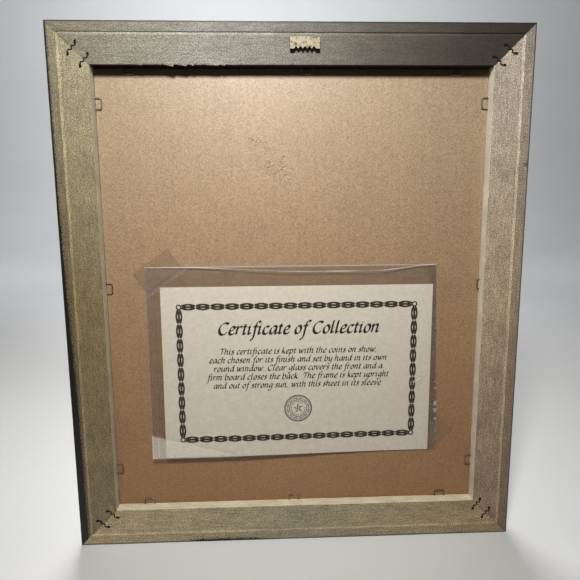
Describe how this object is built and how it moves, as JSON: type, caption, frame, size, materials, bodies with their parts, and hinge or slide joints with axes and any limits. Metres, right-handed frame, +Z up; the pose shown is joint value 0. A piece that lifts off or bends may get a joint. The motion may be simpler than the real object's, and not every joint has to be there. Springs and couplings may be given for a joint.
{
  "type": "coin display frame",
  "caption": "Mitred wooden wall frame that shows coins behind glass, seen from its open back: staples hold a backing board and a clear sleeve holds a loose certificate.",
  "frame": {"origin": "resting face under the bottom rail, centred in the width and in the rails' depth", "axes": "+Z up, +Y out of the glazed display side, -Y out of the open back with the hanger, +X to the right as seen from the back"},
  "size_m": [0.355, 0.0288, 0.406],
  "materials": {
    "rail_wood": "raw back face with dark overspray, black stained sides and display face",
    "clear_glass": "polished",
    "mat_board": "matt, textured",
    "carrier_foam_board": "matt",
    "grey_card": "matt",
    "corrugated_board": "kraft paper faces, faint flute lines",
    "certificate_paper": "matt, printed in black",
    "clear_film": "clear, glossy",
    "clear_tape": "clear, slightly yellow",
    "dark_steel": "black oxide",
    "staple_steel": "bright zinc",
    "hanger_brass": "pale brass plated steel",
    "coin_metal": "bright nickel-silver"
  },
  "bodies": {
    "frame": {"rail_bottom": "rail_wood", "rail_top": "rail_wood", "rail_left": "rail_wood", "rail_right": "rail_wood", "glazing": "clear_glass", "window_mat": "mat_board", "coin_carrier": "carrier_foam_board", "closing_card": "grey_card", "backing_board": "corrugated_board", "sleeve_back_film": "clear_film", "sleeve_front_film": "clear_film", "tape_upper": "clear_tape", "tape_lower": "clear_tape", "corner_nails": "dark_steel", "retaining_staples": "staple_steel", "sawtooth_hanger": "hanger_brass", "coin_row1_column1": "coin_metal", "coin_row1_column2": "coin_metal", "coin_row1_column3": "coin_metal", "coin_row2_column1": "coin_metal", "coin_row2_column2": "coin_metal", "coin_row2_column3": "coin_metal", "coin_row3_column1": "coin_metal", "coin_row3_column2": "coin_metal", "coin_row3_column3": "coin_metal", "coin_row4_column1": "coin_metal", "coin_row4_column2": "coin_metal", "coin_row4_column3": "coin_metal"},
    "certificate": {"certificate": "certificate_paper"}
  },
  "joints": [
    {"name": "certificate_slide", "type": "slide", "parent": "frame", "child": "certificate", "axis": [0, 0, 1], "range_m": [0, 0.157]}
  ]
}
